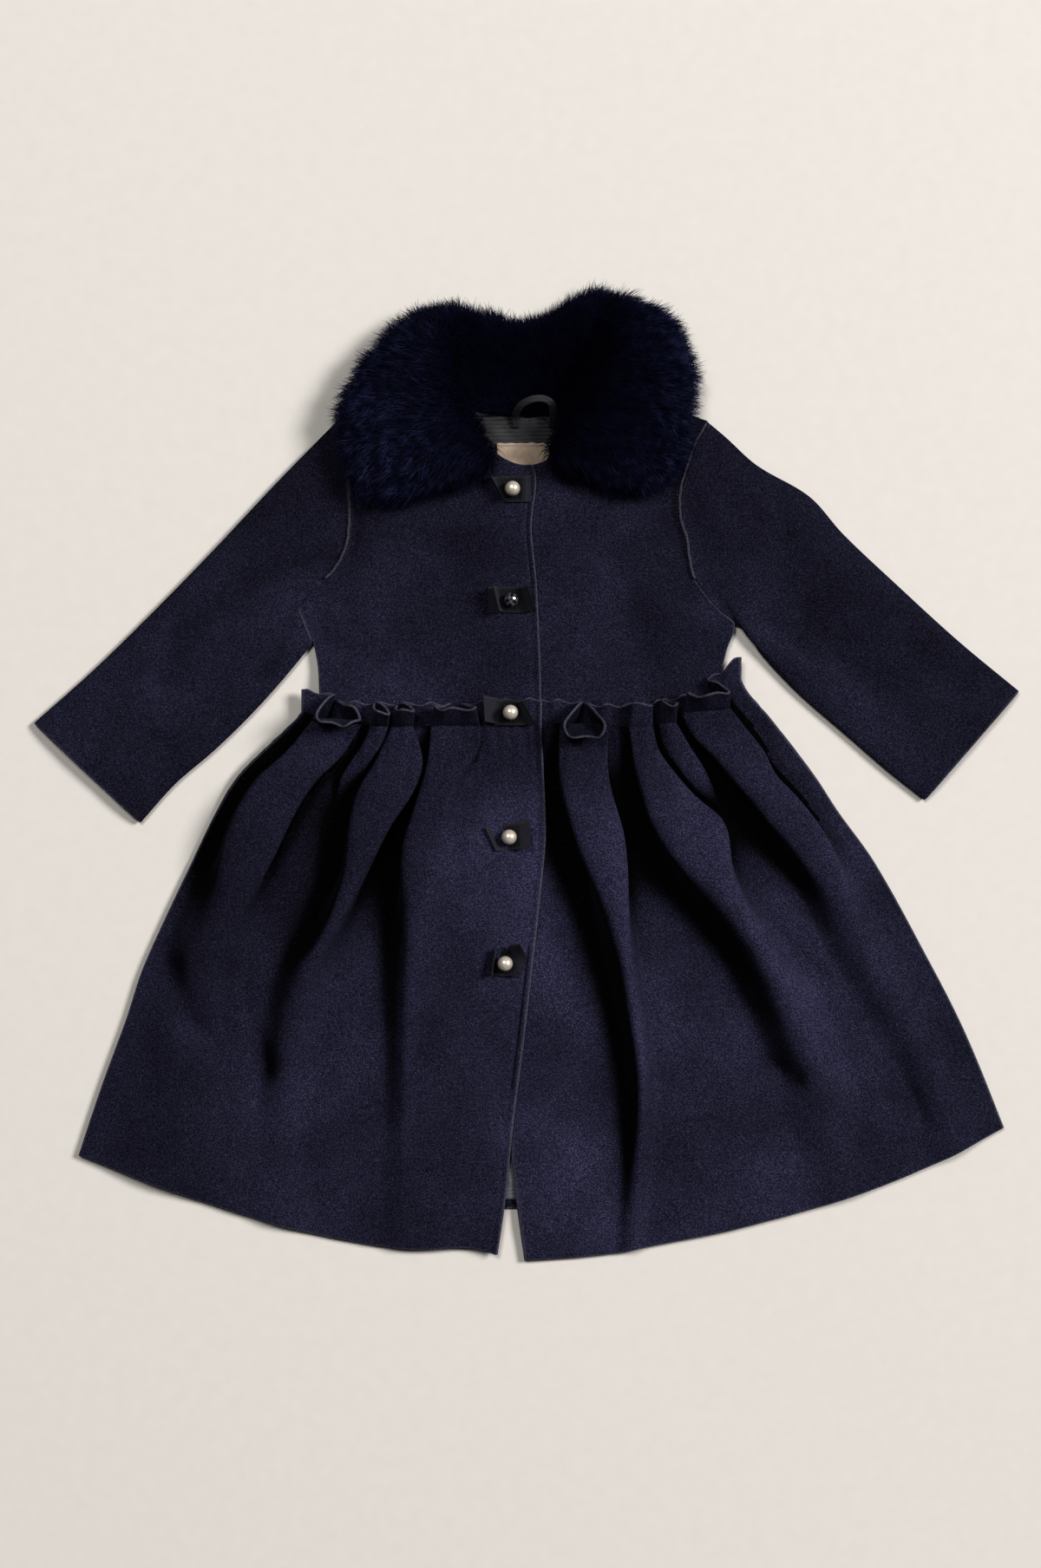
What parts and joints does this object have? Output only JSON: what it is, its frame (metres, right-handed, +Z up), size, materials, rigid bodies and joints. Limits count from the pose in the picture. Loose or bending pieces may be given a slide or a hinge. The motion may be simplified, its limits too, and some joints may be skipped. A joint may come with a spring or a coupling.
{
  "type": "dress coat",
  "caption": "Dress coat for a child in dark wool, laid flat on its back, with plush fur collar, ball buttons on ribbon bows, long sleeves and gathered flared skirt under a standing frill.",
  "frame": {"origin": "middle of the coat's bounding box, on the surface it lies on", "axes": "+Z up off the surface, towards the fronts and buttons; +Y towards the collar; +X to the right as seen from above"},
  "size_m": [0.7398, 0.728, 0.0386],
  "materials": {
    "wool": "matte brushed wool",
    "fur": "dense plush",
    "ribbon": "grosgrain",
    "satin": "satin",
    "lining_grey": "satin",
    "label": "matte woven",
    "metal": "polished, slightly aged",
    "stone_ball": "dark, set with clear stones"
  },
  "bodies": {
    "root": {"bodice_back": "wool", "bodice_front_left": "wool", "bodice_front_right": "wool", "sleeve_left": "wool", "sleeve_right": "wool", "skirt_back": "wool", "skirt_front_left": "wool", "skirt_front_right": "wool", "armhole_seam_left": "wool", "armhole_seam_right": "wool", "fur_collar": "fur", "neck_lining": "satin", "neck_label": "label", "hanging_loop": "satin", "skirt_lining": "lining_grey", "bow_1": "ribbon", "button_1": "metal", "bow_2": "ribbon", "button_2": "stone_ball", "bow_3": "ribbon", "button_3": "metal", "bow_4": "ribbon", "button_4": "metal", "bow_5": "ribbon", "button_5": "metal"}
  },
  "joints": []
}
